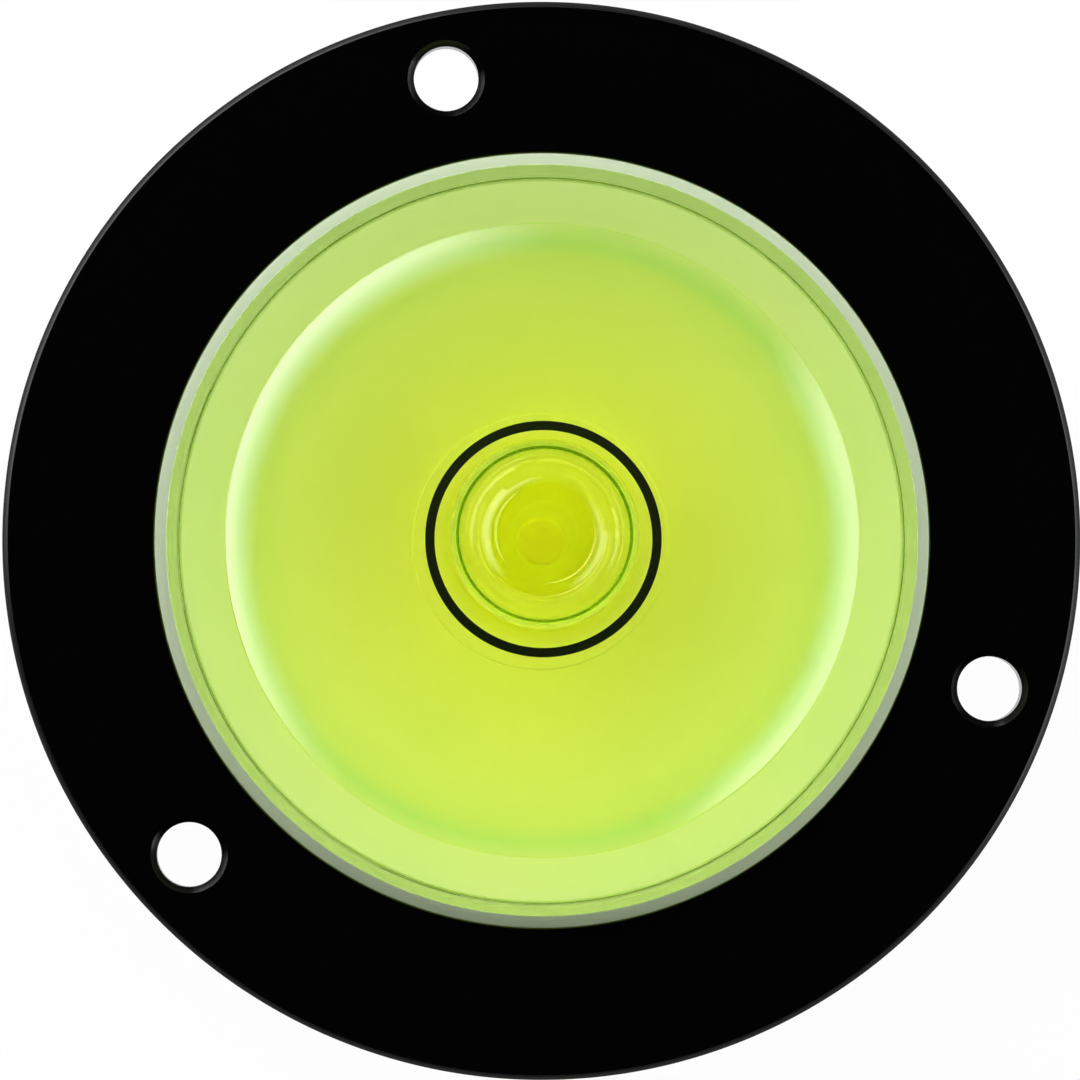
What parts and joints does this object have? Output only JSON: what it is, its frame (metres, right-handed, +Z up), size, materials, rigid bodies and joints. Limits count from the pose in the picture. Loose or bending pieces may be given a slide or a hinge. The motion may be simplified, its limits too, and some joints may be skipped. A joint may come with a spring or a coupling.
{
  "type": "round spirit level",
  "caption": "Small round spirit level: black anodised flange with screw holes, barrel for a panel bore, domed clear vial with yellow-green liquid, black circle and gas bubble.",
  "frame": {"origin": "on the level's axis, at the centre of the barrel's end face, which it stands on", "axes": "+Z up along the axis, from the barrel's end face to the crown of the vial; +Y from the axis towards the first screw hole"},
  "size_m": [0.04, 0.04, 0.0114],
  "materials": {
    "black_anodised_aluminium": "black anodised, fine satin",
    "clear_acrylic": "polished clear acrylic, turned chamfer left matt",
    "white_acrylic": "opal white acrylic",
    "plug_plastic": "white plastic plug",
    "black_ink": "black filling ink",
    "yellow_green_liquid": "clear dyed liquid, fluorescent yellow-green"
  },
  "bodies": {
    "root": {"housing": "black_anodised_aluminium", "vial_body": "clear_acrylic", "vial_base": "white_acrylic", "fill_plug": "plug_plastic", "reference_circle": "black_ink", "level_liquid": "yellow_green_liquid"}
  },
  "joints": []
}
